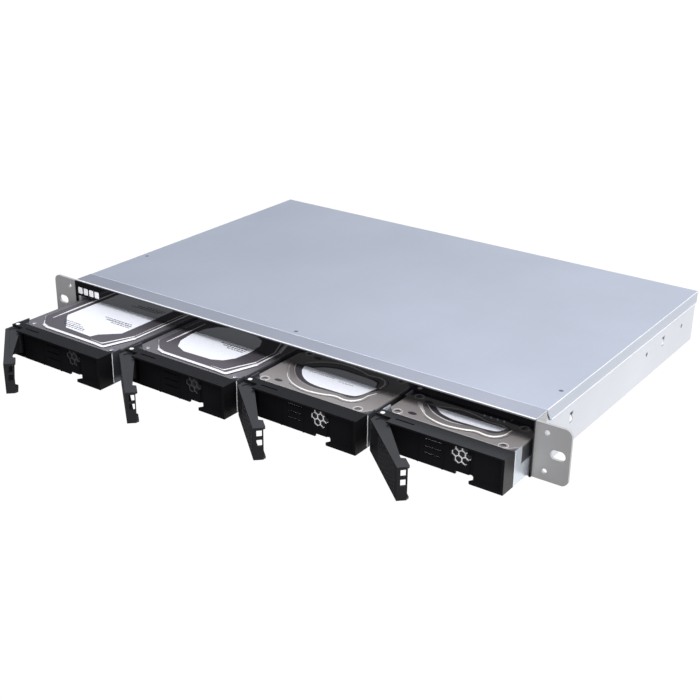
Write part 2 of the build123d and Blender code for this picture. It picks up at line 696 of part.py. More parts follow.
def network_jacks():
    """Shielded sockets, each open to the rear with a latch notch below."""
    top = BOARD_TOP + JACK[1] - PORT_GAP
    half = JACK[0] / 2 - PORT_GAP
    back = REAR_FACE + 1
    jacks = []
    for x in JACKS_X:
        jack = block(x - half, x + half, PORT_FRONT, REAR_FACE + PORT_PROUD, BOARD_TOP, top)
        jack -= block(x - 6, x + 6, PORT_FRONT + 5, back, BOARD_TOP + 3.4, BOARD_TOP + 11.0)
        jack -= block(x - 3, x + 3, PORT_FRONT + 5, back, BOARD_TOP + 1.2, BOARD_TOP + 4.0)
        jacks.append(jack)
    return jacks


def usb_ports():
    """Stacked pairs of flat sockets, each with its contact tongue."""
    half = USB[0] / 2 - PORT_GAP
    top = BOARD_TOP + USB[1] - PORT_GAP
    front = PORT_FRONT + 8
    ports = []
    for x in USB_X:
        port = block(x - half, x + half, PORT_FRONT, REAR_FACE + PORT_PROUD, BOARD_TOP, top)
        for low in (1.4, 8.8):
            z0 = BOARD_TOP + low
            port -= block(x - 6.2, x + 6.2, front, REAR_FACE + 1, z0, z0 + 5.2)
            port += block(x - 5.6, x + 5.6, front, REAR_FACE - 0.8, z0 + 2.9, z0 + 4.7)
        ports.append(port)
    return ports


def sfp_cages():
    """Sheet-metal cages for plug-in fibre modules."""
    half = SFP[0] / 2 - PORT_GAP
    top = BOARD_TOP + SFP[1] - PORT_GAP
    front = REAR_FACE - 48
    sheet = 0.5
    cages = []
    for x in SFP_X:
        cage = block(x - half, x + half, front, REAR_FACE + PORT_PROUD, BOARD_TOP, top)
        cage -= block(x - half + sheet, x + half - sheet, front + 1, REAR_FACE + 1,
                      BOARD_TOP + sheet, top - sheet)
        cages.append(cage)
    return cages


def expansion_blank():
    """Cover plate over the unused expansion slot."""
    x0, x1, z0, z1 = BLANK
    lap = BLANK_LAP + 0.2
    plate = block(x0, x1, REAR_FACE, REAR_FACE + 0.8, z0, z1)
    tongue = block(x0 + lap, x1 - lap, REAR_FACE - 1, REAR_FACE, z0 + lap, z1 - lap)
    return plate + tongue


def reset_button():
    return rod(RESET_X, RESET_Z, REAR_FACE - 14.0, REAR_FACE - 0.4, RESET_R)


def psu_case():
    """Power supply housing, slotted towards the bays."""
    x0, x1, y0, y1 = PSU
    case = block(x0, x1, y0, y1, PSU_LOW, PSU_HIGH)
    case -= block(x0 + PSU_SHEET, x1 - PSU_SHEET, y0 + PSU_SHEET, y1 - PSU_SHEET,
                  PSU_LOW + PSU_SHEET, PSU_HIGH - PSU_SHEET)
    half_w = INLET[0] / 2 + INLET_GAP
    half_h = INLET[1] / 2 + INLET_GAP
    case -= block(INLET_X - half_w, INLET_X + half_w, y1 - 2, y1 + CUT, INLET_Z - half_h, INLET_Z + half_h)
    for i in range(8):
        x = x0 + 8 + 7 * i
        case -= block(x, x + 4, y0 - CUT, y0 + 2, 24.0, 36.0)
    return case


def psu_board():
    """Power supply board with its transformer and two capacitors."""
    x0, x1, y0, y1 = PSU
    low = 6.0
    top = low + BOARD
    board = block(x0 + 3, x1 - 3, y0 + 3, y1 - 30, low, top)
    board += block(x0 + 12, x0 + 40, y0 + 26, y0 + 52, top, top + 24)
    for i in range(2):
        board += post(x1 - 16, y0 + 16 + 22 * i, top, top + 26, 9)
    return board


def ac_inlet():
    """Three-pin mains inlet in the rear of the power supply."""
    half_w = INLET[0] / 2
    half_h = INLET[1] / 2
    y0 = REAR_FACE - INLET_DEPTH
    body = block(INLET_X - half_w, INLET_X + half_w, y0, REAR_FACE + 1.2, INLET_Z - half_h, INLET_Z + half_h)
    wall_w = half_w - 1.5
    wall_h = half_h - 1.7
    body -= block(INLET_X - wall_w, INLET_X + wall_w, y0 + 4, REAR_FACE + 2,
                  INLET_Z - wall_h, INLET_Z + wall_h)
    for dx, dz in INLET_PINS:
        x = INLET_X + dx
        z = INLET_Z + dz
        body += block(x - 1, x + 1, y0 + 3.5, REAR_FACE - 3.0, z - 2, z + 2)
    return body


def fan_frames():
    frames = []
    half = FAN_SIZE / 2
    y0 = FAN_FRONT
    y1 = REAR_FACE - REAR_THICK
    for x in FANS_X:
        frame = block(x - half, x + half, y0, y1, FAN_Z - half, FAN_Z + half)
        frame -= rod(x, FAN_Z, y0 - 1, y1 + 1, FAN_BORE)
        frame += rod(x, FAN_Z, y1 - 2.5, y1, FAN_HUB)
        for angle in (45, 135, 225, 315):
            strut = block(0, FAN_BORE + 0.5, y1 - 2.5, y1, HALF_HEIGHT - 1.2, HALF_HEIGHT + 1.2)
            frame += Pos(x, 0, FAN_Z - HALF_HEIGHT) * Rot(Y=angle) * strut
        frame += rod(x, FAN_Z, y1 - 9.0, y1 - 2.5, SHAFT_R + 1.6)
        frame -= rod(x, FAN_Z, y1 - 10.0, y1 - 1.0, SHAFT_R + SHAFT_CLEARANCE)
        frames.append(frame)
    return frames


def fan_rotor(x):
    """Cup hub on its shaft with twisted blades."""
    y0 = FAN_FRONT + 1.0
    y1 = REAR_FACE - REAR_THICK - 3.2
    hub = rod(x, FAN_Z, y0, y1, FAN_HUB)
    hub -= rod(x, FAN_Z, y0 + 1.5, y1 + CUT, FAN_HUB - 1.2)
    hub += rod(x, FAN_Z, y0 + 1, y1 + 1.1, SHAFT_R)
    blade = block(FAN_HUB - 0.4, FAN_BORE - 0.7, y0 + 2, y1 - 1, HALF_HEIGHT - 0.5, HALF_HEIGHT + 0.5)
    middle = (y0 + y1) / 2
    blade = Pos(0, middle, 0) * Rot(X=BLADE_PITCH) * Pos(0, -middle, 0) * blade
    for i in range(FAN_BLADES):
        hub += Pos(x, 0, FAN_Z - HALF_HEIGHT) * Rot(Y=360 / FAN_BLADES * i) * blade
    return hub


def power_harness():
    """Cable bundle from the power supply to the backplane, over the open floor."""
    low = 14.0 - HALF_HEIGHT
    start = (150.0, PSU[2], low)
    end = (125.0, BACKPLANE_Y + BOARD, low)
    path = FilletPolyline(start, (150.0, 180.0, low), (125.0, 180.0, low), end, radius=2.7)
    section = Plane(origin=start, z_dir=(0, -1, 0)) * Circle(2.0)
    return sweep(section, path=path)


def main():
    os.makedirs("parts", exist_ok=True)
    save("chassis_pan", chassis_pan())
    save("right_rack_ear", right_ear())
    save("left_rack_ear", mirror_x(right_ear()))
    save("front_crossmember", front_crossmember())
    save("front_strip", front_strip())
    save("power_button", power_button())
    save("light_pipes", *light_pipes())
    save("indicator_board", indicator_board())
    save("top_cover", top_cover())
    save("cover_screws", *cover_screws())
    save("rear_panel", rear_panel())
    save("bay_dividers", *bay_dividers())
    for number in range(1, BAYS + 1):
        write_tray(number)
    save("backplane_board", backplane_board())
    save("drive_sockets", *drive_sockets())
    save("mainboard", mainboard())
    save("board_standoffs", *board_standoffs())
    save("heatsink", heatsink())
    save("processor", processor())
    save("memory_socket", memory_socket())
    save("memory_module", memory_module())
    save("network_jacks", *network_jacks())
    save("usb_ports", *usb_ports())
    save("sfp_cages", *sfp_cages())
    save("expansion_blank", expansion_blank())
    save("reset_button", reset_button())
    save("psu_case", psu_case())
    save("psu_board", psu_board())
    save("ac_inlet", ac_inlet())
    save("fan_frames", *fan_frames())
    for number, x in enumerate(FANS_X, start=1):
        save(f"fan{number}_rotor", fan_rotor(x))
    save("power_harness", power_harness())


main()
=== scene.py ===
import math
import random

import bmesh
import bpy
from mathutils import Matrix, Vector


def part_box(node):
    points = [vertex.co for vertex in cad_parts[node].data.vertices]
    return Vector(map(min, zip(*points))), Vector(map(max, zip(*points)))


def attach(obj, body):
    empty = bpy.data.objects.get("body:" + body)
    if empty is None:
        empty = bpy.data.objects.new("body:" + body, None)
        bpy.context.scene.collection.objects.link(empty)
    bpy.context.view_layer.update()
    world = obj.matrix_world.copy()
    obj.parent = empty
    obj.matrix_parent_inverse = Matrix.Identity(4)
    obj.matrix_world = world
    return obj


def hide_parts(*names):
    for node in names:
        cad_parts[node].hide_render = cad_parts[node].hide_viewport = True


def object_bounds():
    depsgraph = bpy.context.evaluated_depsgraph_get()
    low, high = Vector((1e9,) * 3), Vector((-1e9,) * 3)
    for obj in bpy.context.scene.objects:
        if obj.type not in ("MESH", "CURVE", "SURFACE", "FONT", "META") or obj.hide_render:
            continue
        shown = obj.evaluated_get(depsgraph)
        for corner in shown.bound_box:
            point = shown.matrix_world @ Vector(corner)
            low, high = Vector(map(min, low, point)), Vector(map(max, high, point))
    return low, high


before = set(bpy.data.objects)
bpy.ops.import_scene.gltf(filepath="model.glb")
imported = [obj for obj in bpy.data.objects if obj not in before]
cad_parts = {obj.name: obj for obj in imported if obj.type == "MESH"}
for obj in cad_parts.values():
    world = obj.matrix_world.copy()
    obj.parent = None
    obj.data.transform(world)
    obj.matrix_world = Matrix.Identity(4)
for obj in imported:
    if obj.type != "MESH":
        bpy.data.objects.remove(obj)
CAD_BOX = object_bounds()

MM = 0.001
TRAYS = (1, 2, 3, 4)
TRAY_WIDTH = 104.0
PIVOT = (3.6, 9.8)  # lever hinge, from the tray's left front corner
LEVER_OPEN = math.radians(41.5)
HALF_HEIGHT = (CAD_BOX[1].z - CAD_BOX[0].z) / 2 / MM

CORNER_STEPS = 6
CORNER_SHARE = 0.48  # most of a side that one rounded corner may take
SHORTEST_MITRE = 0.35
NO_LENGTH = 1e-9
BEAD_STEPS = 8
BEAD_TIP = 0.3  # share of its size that an open bead keeps at its ends
EDGE_SEGMENTS = 2
EDGE_ANGLE = 30


# ------------------------------------------------------------------ places
def tray_origin(number):
    """Left front bottom corner of a tray in metres: x of its left edge, y of its face, chassis bottom."""
    low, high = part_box(f"tray{number}_bezel")
    return Vector((high.x - TRAY_WIDTH * MM, low.y, -HALF_HEIGHT * MM))


def chassis_origin():
    """Middle of the chassis front at its bottom, in metres."""
    return Vector((0, 0, -HALF_HEIGHT * MM))


# ------------------------------------------------------------------ mesh helpers
def link(name, data):
    obj = bpy.data.objects.new(name, data)
    bpy.context.collection.objects.link(obj)
    return obj


def from_bmesh(name, bm):
    mesh = bpy.data.meshes.new(name)
    bmesh.ops.recalc_face_normals(bm, faces=bm.faces)
    bm.to_mesh(mesh)
    bm.free()
    return link(name, mesh)


def rounded(points, radii):
    """Plan outline with its corners rounded; radii is one number or one for each point."""
    count = len(points)
    if not isinstance(radii, (list, tuple)):
        radii = [radii] * count
    out = []
    for i in range(count):
        here = Vector(points[i])
        before = Vector(points[i - 1]) - here
        after = Vector(points[(i + 1) % count]) - here
        radius = radii[i]
        if radius <= 0:
            out.append(here)
            continue
        half = before.angle(after) / 2
        reach = min(radius / math.tan(half), CORNER_SHARE * before.length, CORNER_SHARE * after.length)
        start = here + before.normalized() * reach
        end = here + after.normalized() * reach
        for k in range(CORNER_STEPS + 1):
            t = k / CORNER_STEPS
            out.append((1 - t) ** 2 * start + 2 * t * (1 - t) * here + t * t * end)
    return out


def smooth_path(points, steps=6, closed=False):
    """Catmull-Rom curve through plan points."""
    count = len(points)
    out = []
    spans = count if closed else count - 1
    for i in range(spans):
        p1 = Vector(points[i])
        p2 = Vector(points[(i + 1) % count])
        p0 = Vector(points[i - 1]) if closed or i > 0 else p1
        p3 = Vector(points[(i + 2) % count]) if closed or i + 2 < count else p2
        for k in range(steps):
            t = k / steps
            out.append(0.5 * (2 * p1 + (p2 - p0) * t + (2 * p0 - 5 * p1 + 4 * p2 - p3) * t ** 2
                              + (3 * p1 - p0 - 3 * p2 + p3) * t ** 3))
    if not closed:
        out.append(Vector(points[-1]))
    return out


def ellipse(x, y, radius_x, radius_y, steps):
    """Plan points of an ellipse."""
    turns = [2 * math.pi * i / steps for i in range(steps)]
    return [(x + radius_x * math.cos(turn), y + radius_y * math.sin(turn)) for turn in turns]


def add_prism(bm, outline, z0, z1, inset=0.0, drop=0.0):
    """Closed prism in bm; inset and drop give it a sloping shoulder at its top."""
    levels = [(z0, 0.0), (z1 - drop, 0.0), (z1, inset)] if inset > 0 else [(z0, 0.0), (z1, 0.0)]
    rings = []
    count = len(outline)
    area = sum(outline[i - 1][0] * outline[i][1] - outline[i][0] * outline[i - 1][1] for i in range(count))
    turn = 1 if area > 0 else -1
    for z, shrink in levels:
        ring = []
        for i in range(count):
            here = Vector(outline[i])
            a = (here - Vector(outline[i - 1])).normalized()
            b = (Vector(outline[(i + 1) % count]) - here).normalized()
            normal = Vector((-(a.y + b.y), a.x + b.x)) * turn
            if normal.length > NO_LENGTH:
                normal.normalize()
                scale = 1 / max(SHORTEST_MITRE, normal.dot(Vector((-a.y, a.x)) * turn))
                here = here + normal * shrink * scale
            ring.append(bm.verts.new((here.x * MM, here.y * MM, z * MM)))
        rings.append(ring)
    for low, high in zip(rings, rings[1:]):
        for i in range(count):
            bm.faces.new((low[i - 1], low[i], high[i], high[i - 1]))
    bm.faces.new(rings[0][::-1])
    bm.faces.new(rings[-1])


def add_box(bm, x0, x1, y0, y1, z0, z1):
    add_prism(bm, [(x0, y0), (x1, y0), (x1, y1), (x0, y1)], z0, z1)


def add_disc(bm, x, y, radius, z0, z1, inset, drop):
    """Low round head or dimple with a sloping shoulder."""
    add_prism(bm, ellipse(x, y, radius, radius, 24), z0, z1, inset, drop)


def add_slab(bm, outline, y0, y1):
    """Closed slab in bm from an upright x, z outline, between two depths."""
    count = len(outline)
    back = [bm.verts.new((x * MM, y0 * MM, z * MM)) for x, z in outline]
    face = [bm.verts.new((x * MM, y1 * MM, z * MM)) for x, z in outline]
    bm.faces.new(back)
    bm.faces.new(face[::-1])
    for i in range(count):
        bm.faces.new((back[i], face[i], face[(i + 1) % count], back[(i + 1) % count]))


def bead(name, points, size, z, closed=False, fade=2):
    """Rounded bead along a plan path, lying on height z; an open one thins over its last fade points."""
    width, height = size
    bm = bmesh.new()
    rings = []
    count = len(points)
    for i in range(count):
        here = Vector(points[i])
        ahead = Vector(points[(i + 1) % count]) if closed or i < count - 1 else here
        behind = Vector(points[i - 1]) if closed or i > 0 else here
        along = (ahead - behind).normalized()
        side = Vector((-along.y, along.x))
        taper = 1.0 if closed else min(1.0, BEAD_TIP + (1 - BEAD_TIP) * min(i, count - 1 - i) / fade)
        ring = []
        for k in range(BEAD_STEPS + 1):
            angle = math.pi * k / BEAD_STEPS
            offset = side * (width / 2 * math.cos(angle) * taper)
            rise = height * math.sin(angle) * taper
            ring.append(bm.verts.new(((here.x + offset.x) * MM, (here.y + offset.y) * MM, (z + rise) * MM)))
        rings.append(ring)
    pairs = list(zip(rings, rings[1:]))
    if closed:
        pairs.append((rings[-1], rings[0]))
    for a, b in pairs:
        for k in range(BEAD_STEPS):
            bm.faces.new((a[k], a[k + 1], b[k + 1], b[k]))
        bm.faces.new((a[-1], a[0], b[0], b[-1]))
    if not closed:
        bm.faces.new(rings[0])
        bm.faces.new(rings[-1][::-1])
    return shade_smooth(from_bmesh(name, bm))


def place(obj, origin, material, body):
    obj.location = origin
    obj.data.materials.clear()
    obj.data.materials.append(material)
    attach(obj, body)


def soften(obj, width):
    """Small rounded edges, by a bevel."""
    bevel = obj.modifiers.new("edges", "BEVEL")
    bevel.width = width * MM
    bevel.segments = EDGE_SEGMENTS
    bevel.limit_method = "ANGLE"
    bevel.angle_limit = math.radians(EDGE_ANGLE)


def shade_smooth(obj, angle=40):
    for polygon in obj.data.polygons:
        polygon.use_smooth = True
    obj.data.set_sharp_from_angle(angle=math.radians(angle))
    return obj


# ------------------------------------------------------------------ materials
DARK_STOP = 0.3
LIGHT_STOP = 0.7
LENGTHWISE = (1, 0.05, 1)
BRUSHED = (1, 0.08, 1)
UPRIGHT = (1, 1, 0.04)
EVEN = (1, 1, 1)


def shift(color, factor):
    return tuple(min(1.0, c * factor) for c in color)


class Shader:
    """A Principled material with a few shorthand node calls."""

    def __init__(self, name, **sockets):
        self.material = bpy.data.materials.new(name)
        self.material.use_nodes = True
        self.tree = self.material.node_tree
        self.nodes = self.tree.nodes
        self.shader = self.nodes["Principled BSDF"]
        for key, value in sockets.items():
            self.shader.inputs[key.replace("_", " ")].default_value = value
        self.coords = self.nodes.new("ShaderNodeTexCoord")

    def link(self, a, b):
        self.tree.links.new(a, b)

    def scaled(self, scale):
        mapping = self.nodes.new("ShaderNodeMapping")
        mapping.inputs["Scale"].default_value = scale
        self.link(self.coords.outputs["Object"], mapping.inputs["Vector"])
        return mapping.outputs["Vector"]

    def noise(self, scale, detail=3.0, stretch=EVEN):
        node = self.nodes.new("ShaderNodeTexNoise")
        node.inputs["Scale"].default_value = scale
        node.inputs["Detail"].default_value = detail
        self.link(self.scaled(stretch), node.inputs["Vector"])
        return node.outputs["Fac"]

    def tones(self, fac, color, dark, light, stops=(DARK_STOP, LIGHT_STOP)):
        """Base colour between color times dark and color times light."""
        node = self.nodes.new("ShaderNodeValToRGB")
        for element, position, factor in zip(node.color_ramp.elements, stops, (dark, light)):
            element.position = position
            element.color = (*shift(color, factor), 1)
        self.link(fac, node.inputs["Fac"])
        self.color(node.outputs["Color"])

    def roughness(self, fac, low, high):
        node = self.nodes.new("ShaderNodeMapRange")
        node.inputs["To Min"].default_value = low
        node.inputs["To Max"].default_value = high
        self.link(fac, node.inputs["Value"])
        self.link(node.outputs["Result"], self.shader.inputs["Roughness"])

    def bump(self, fac, strength, distance):
        node = self.nodes.new("ShaderNodeBump")
        node.inputs["Strength"].default_value = strength
        node.inputs["Distance"].default_value = distance
        self.link(fac, node.inputs["Height"])
        self.link(node.outputs["Normal"], self.shader.inputs["Normal"])

    def color(self, output):
        self.link(output, self.shader.inputs["Base Color"])


def sheet_metal(name, color, rough, metallic=1.0, grain=EVEN, spread=0.06):
    """Zinc-coated or brushed sheet: cloudy tone, fine directional grain, faint handling marks."""
    s = Shader(name, Metallic=metallic)
    s.tones(s.noise(scale=9.0, detail=4.0), color, 1 - spread, 1 + spread)
    fine = s.noise(scale=420.0, detail=2.0, stretch=grain)
    s.roughness(fine, rough - 0.05, rough + 0.06)
    s.bump(fine, strength=0.05, distance=0.0002)
    return s.material


def moulded(name, color, rough, specular=0.5):
    """Injection-moulded plastic with a spark-eroded grain."""
    s = Shader(name, Specular_IOR_Level=specular)
    s.tones(s.noise(scale=30.0), color, 0.86, 1.14)
    fine = s.noise(scale=900.0, detail=2.0)
    s.roughness(fine, rough - 0.06, rough + 0.08)
    s.bump(fine, strength=0.18, distance=0.0003)
    return s.material


def gloss(name, color, rough):
    """Polished plastic with a faint haze and dust."""
    s = Shader(name, IOR=1.62)
    haze = s.noise(scale=60.0, detail=5.0)
    s.tones(haze, color, 0.8, 1.3, stops=(0.35, 0.75))
    s.roughness(haze, rough, rough + 0.03)
    return s.material


def paper(name, color):
    """Printed label stock: soft off-white with faint fibres."""
    s = Shader(name)
    fibre = s.noise(scale=700.0)
    s.tones(fibre, color, 0.95, 1.03)
    s.roughness(fibre, 0.42, 0.6)
    s.bump(fibre, strength=0.05, distance=0.0002)
    return s.material


def board(name, color):
    """Solder mask over copper tracks."""
    s = Shader(name)
    tracks = s.nodes.new("ShaderNodeTexBrick")
    tracks.inputs["Scale"].default_value = 160.0
    for socket, factor in (("Color1", 1.5), ("Color2", 1.0), ("Mortar", 0.6)):
        tracks.inputs[socket].default_value = (*shift(color, factor), 1)
    s.link(s.scaled(EVEN), tracks.inputs["Vector"])
    s.color(tracks.outputs["Color"])
    s.roughness(s.noise(scale=200.0), 0.25, 0.45)
    return s.material


COVER = sheet_metal("cover_sheet", (0.61, 0.65, 0.72),
                    rough=0.37, metallic=0.9, grain=LENGTHWISE, spread=0.04)
CHASSIS = sheet_metal("chassis_sheet", (0.80, 0.82, 0.86),
                      rough=0.40, metallic=0.7, grain=LENGTHWISE, spread=0.04)
EAR = sheet_metal("ear_sheet", (0.56, 0.555, 0.55), rough=0.42, metallic=0.45, grain=UPRIGHT)
LEFT_EAR = sheet_metal("left_ear_sheet", (0.57, 0.565, 0.56), rough=0.42, metallic=0.45, grain=UPRIGHT)
CROSS = sheet_metal("crossmember_sheet", (0.50, 0.52, 0.58), rough=0.34, metallic=0.93, grain=LENGTHWISE)
# Near-white, barely metallic: a painted highlight on the rolled sheet edges and the lance tongues.
BENT_EDGE_PAINTED_HIGHLIGHT = sheet_metal("bent_edge_painted_highlight", (0.97, 0.97, 0.99), rough=0.3, metallic=0.2)
# Near-white and barely metallic: a painted highlight for the glint of bright steel, on the screens of trays
# 3 and 4, the hinge pin heads and the carriers' front edges.
SCREEN = sheet_metal("screen_sheet", (0.98, 0.98, 0.98), rough=0.25, metallic=0.05)
CARRIER = sheet_metal("carrier_sheet", (0.84, 0.89, 0.95), rough=0.32, metallic=0.6, grain=LENGTHWISE)
# The carrier steel again, painted dark for trays 1 to 3: painted shade between the trays.
CARRIER_PAINTED_SHADE = sheet_metal("carrier_sheet_painted_shade", (0.10, 0.112, 0.125),
                           rough=0.38, metallic=0.6, grain=LENGTHWISE)
# The screen steel again, painted dark grey for trays 1 and 2: painted shade in the bezel's recess.
SCREEN_PAINTED_SHADE = sheet_metal("screen_sheet_painted_shade", (0.16, 0.16, 0.17), rough=0.35, metallic=0.5)
LID_DECK = sheet_metal("lid_deck", (0.20, 0.19, 0.205), rough=0.38, metallic=0.5, grain=BRUSHED)
CASTING = sheet_metal("drive_casting", (0.16, 0.16, 0.17), rough=0.5, metallic=0.8)
LID_DARK = sheet_metal("lid_dark", (0.130, 0.116, 0.132), rough=0.38, metallic=0.5, grain=BRUSHED)
LID_LIGHT = sheet_metal("lid_light", (0.335, 0.31, 0.302), rough=0.42, metallic=0.25, grain=BRUSHED)
# Near-white, little metallic: painted highlight on the raised ridges of the dark lids.
RIDGE_PAINTED_HIGHLIGHT = sheet_metal("lid_ridge_painted_highlight", (0.97, 0.95, 0.97), rough=0.28, metallic=0.25)
PLATED = sheet_metal("plated_steel", (0.75, 0.75, 0.76), rough=0.25)
SCREW = sheet_metal("screw_zinc", (0.62, 0.62, 0.64), rough=0.3)
FINS = sheet_metal("fin_aluminium", (0.75, 0.76, 0.78), rough=0.35, grain=LENGTHWISE)
TRAY = moulded("tray_moulding", (0.004, 0.004, 0.005), rough=0.40, specular=0.55)
TRAY_MATT = moulded("tray_moulding_matt", (0.005, 0.005, 0.006), rough=0.55, specular=0.22)
LEVER = moulded("lever_moulding", (0.014, 0.014, 0.016), rough=0.40, specular=0.45)
SOCKET = moulded("socket_moulding", (0.015, 0.015, 0.016), rough=0.4)
FAN = moulded("fan_moulding", (0.02, 0.02, 0.022), rough=0.38)
CHIP = moulded("chip_epoxy", (0.025, 0.025, 0.027), rough=0.5)
WIRE = moulded("wire_sleeve", (0.03, 0.03, 0.03), rough=0.6)
GLOSS = gloss("strip_gloss", (0.003, 0.003, 0.004), rough=0.03)
PIPE = gloss("light_pipe", (0.05, 0.06, 0.07), rough=0.06)
LATTICE = moulded("lever_lattice", (0.026, 0.026, 0.029), rough=0.32)
# Cream-white, little metallic: painted highlight on the coined line along the light lids' front.
LINE_PAINTED_HIGHLIGHT = sheet_metal("bulge_line_painted_highlight", (0.98, 0.95, 0.90), rough=0.28, metallic=0.2)
# Near-black: the plug's own colour, and painted shade on the low bead that stands for the groove under the
# front line.
LID_DARK_PLUG_AND_GROOVE_SHADE = sheet_metal("lid_ring", (0.09, 0.085, 0.10), rough=0.38, metallic=0.6)
# Near-black band round the label: painted shade on the bulge.
LID_RING_PAINTED_SHADE = sheet_metal("lid_ring_painted_shade", (0.10, 0.092, 0.10), rough=0.42, metallic=0.5)
# The light lid's metal, darker on the bulge: painted shade.
BULGE_PAINTED_SHADE = sheet_metal("lid_bulge_painted_shade", (0.28, 0.257, 0.253), rough=0.40, metallic=0.5, grain=BRUSHED)
# Grey a little lighter than the dark lid: a dimmer painted highlight on the side ridge.
RIDGE_PAINTED_DIM_HIGHLIGHT = sheet_metal("lid_dim_painted_highlight", (0.34, 0.32, 0.335), rough=0.34, metallic=0.5)
# Pale lid grey: painted highlight on the arcs of lid 4 and on the rims round the screw dishes.
LID_PAINTED_HIGHLIGHT = sheet_metal("lid_pale_painted_highlight", (0.74, 0.70, 0.68), rough=0.34, metallic=0.4)
LID_SCREW = sheet_metal("lid_screw_dark", (0.20, 0.19, 0.20), rough=0.38, metallic=0.8)
DIMPLE = sheet_metal("cover_dimple", (0.22, 0.23, 0.26), rough=0.5, metallic=0.8)
PRINT_WHITE = paper("strip_print", (0.97, 0.97, 0.97))
LABEL = paper("label_paper", (0.90, 0.91, 0.96))
INK = paper("label_ink", (0.05, 0.05, 0.06))
BOARD = board("board_mask", (0.01, 0.08, 0.04))

NODE_MATERIALS = {
    "chassis_pan": CHASSIS, "right_rack_ear": EAR, "left_rack_ear": LEFT_EAR, "front_crossmember": CROSS,
    "front_strip": GLOSS, "power_button": GLOSS, "light_pipes": PIPE, "indicator_board": BOARD,
    "top_cover": COVER, "cover_screws": SCREW, "rear_panel": CHASSIS, "bay_dividers": CHASSIS,
    "backplane_board": BOARD, "drive_sockets": SOCKET, "mainboard": BOARD, "board_standoffs": SCREW,
    "heatsink": FINS, "processor": CHIP, "memory_socket": SOCKET, "memory_module": BOARD,
    "network_jacks": PLATED, "usb_ports": PLATED, "sfp_cages": PLATED, "expansion_blank": PLATED,
    "reset_button": SOCKET, "psu_case": CARRIER, "psu_board": BOARD, "ac_inlet": SOCKET,
    "fan_frames": FAN, "fan1_rotor": FAN, "fan2_rotor": FAN, "power_harness": WIRE,
}
# The screen's near-white is a painted highlight.
TRAY_MATERIALS = {"bezel": TRAY, "emi_screen": SCREEN, "carrier": CARRIER, "drive_body": CASTING,
                  "drive_lid": LID_DARK, "lever": LEVER, "hinge_pin": PLATED}
# Trays with the matt bezel moulding and the carrier steel in painted shade.
MATT_SHADED_TRAYS = (1, 2, 3)
# Trays whose EMI screen is painted dark grey as painted shade.
PAINTED_SHADE_SCREENS = (1, 2)
MOULDED_EDGE = 0.3
EAR_EDGE = 0.2
COVER_EDGE = 0.25


def dress(name, material):
    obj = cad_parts[name]
    obj.data.materials.clear()
    obj.data.materials.append(material)


def dress_all():
    for name, material in NODE_MATERIALS.items():
        dress(name, material)
    for number in TRAYS:
        for part, material in TRAY_MATERIALS.items():
            dress(f"tray{number}_{part}", material)
    for number in MATT_SHADED_TRAYS:
        dress(f"tray{number}_bezel", TRAY_MATT)
        # painted shade on the carriers of these trays
        dress(f"tray{number}_carrier", CARRIER_PAINTED_SHADE)
    for number in PAINTED_SHADE_SCREENS:
        # painted shade on these screens
        dress(f"tray{number}_emi_screen", SCREEN_PAINTED_SHADE)


def finish_nodes():
    """Small rounded edges on the carried-over CAD pieces."""
    for number in TRAYS:
        soften(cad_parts[f"tray{number}_bezel"], MOULDED_EDGE)
        soften(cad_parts[f"tray{number}_lever"], MOULDED_EDGE)
    for name in ("right_rack_ear", "left_rack_ear"):
        soften(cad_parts[name], EAR_EDGE)
    soften(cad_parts["top_cover"], COVER_EDGE)


# ------------------------------------------------------------------ drive lids
# Plan points are x, y from the tray's left front corner, and heights are from the chassis bottom.
DECK = rounded([(1.6, 161.2), (1.6, 22.6), (8.4, 16.3), (96.4, 16.3), (102.4, 23.5), (102.4, 161.2)],
               [0, 3, 2, 2, 3, 0])
DECK_LOW = 24.9
DECK_HIGH = 26.3
DECK_SHOULDER = (0.5, 0.4)
LIGHT_DECK_HIGH = DECK_HIGH + 0.2
LID_TOP = 27.3
LID_SMOOTH = 35
SCREW_SMOOTH = 30

BAR_LENGTHS = (0.8, 3.2)
BAR_GAPS = (0.35, 0.8)
BAR_HEIGHT = 1.35
INK_DEPTH = 0.03

SCREW_SINK = 0.3
SCREW_RISE = 0.55
SCREW_SHOULDER = (0.35, 0.3)
STAR_BAR = ((-0.95, -0.22), (0.95, -0.22), (0.95, 0.22), (-0.95, 0.22))
STAR_LOW = 0.5
STAR_HIGH = 0.58

PLATEAU = rounded([(7.4, 156.0), (7.4, 35.0), (19.7, 22.0), (26.0, 20.0), (80.0, 19.6), (89.5, 18.4),
                   (98.3, 45.0), (98.3, 140.0), (84.0, 156.0)], [4, 3, 3, 4, 3, 2.5, 4, 6, 5])
PLATEAU_SHOULDER = (0.9, 0.7)
PLATEAU_LOW = DECK_HIGH - 0.2
SIDE_RIDGE = rounded([(7.6, 120.0), (7.6, 35.2), (14.5, 28.0)], [0, 3, 0])
FRONT_RIDGE = rounded([(13.8, 28.8), (20.0, 22.6), (26.0, 20.6), (80.0, 20.2), (89.0, 19.4), (97.6, 45.2),
                       (97.6, 138.0)], [0, 3, 4, 3, 2.5, 4, 0])
INNER_RIDGE = rounded([(72.0, 23.4), (84.6, 23.0), (94.9, 47.2), (94.9, 136.0)], [0, 3, 4, 0])
LEFT_RIDGE = [(15.2, 36.0), (15.2, 60.0), (15.2, 100.0), (15.2, 137.0)]
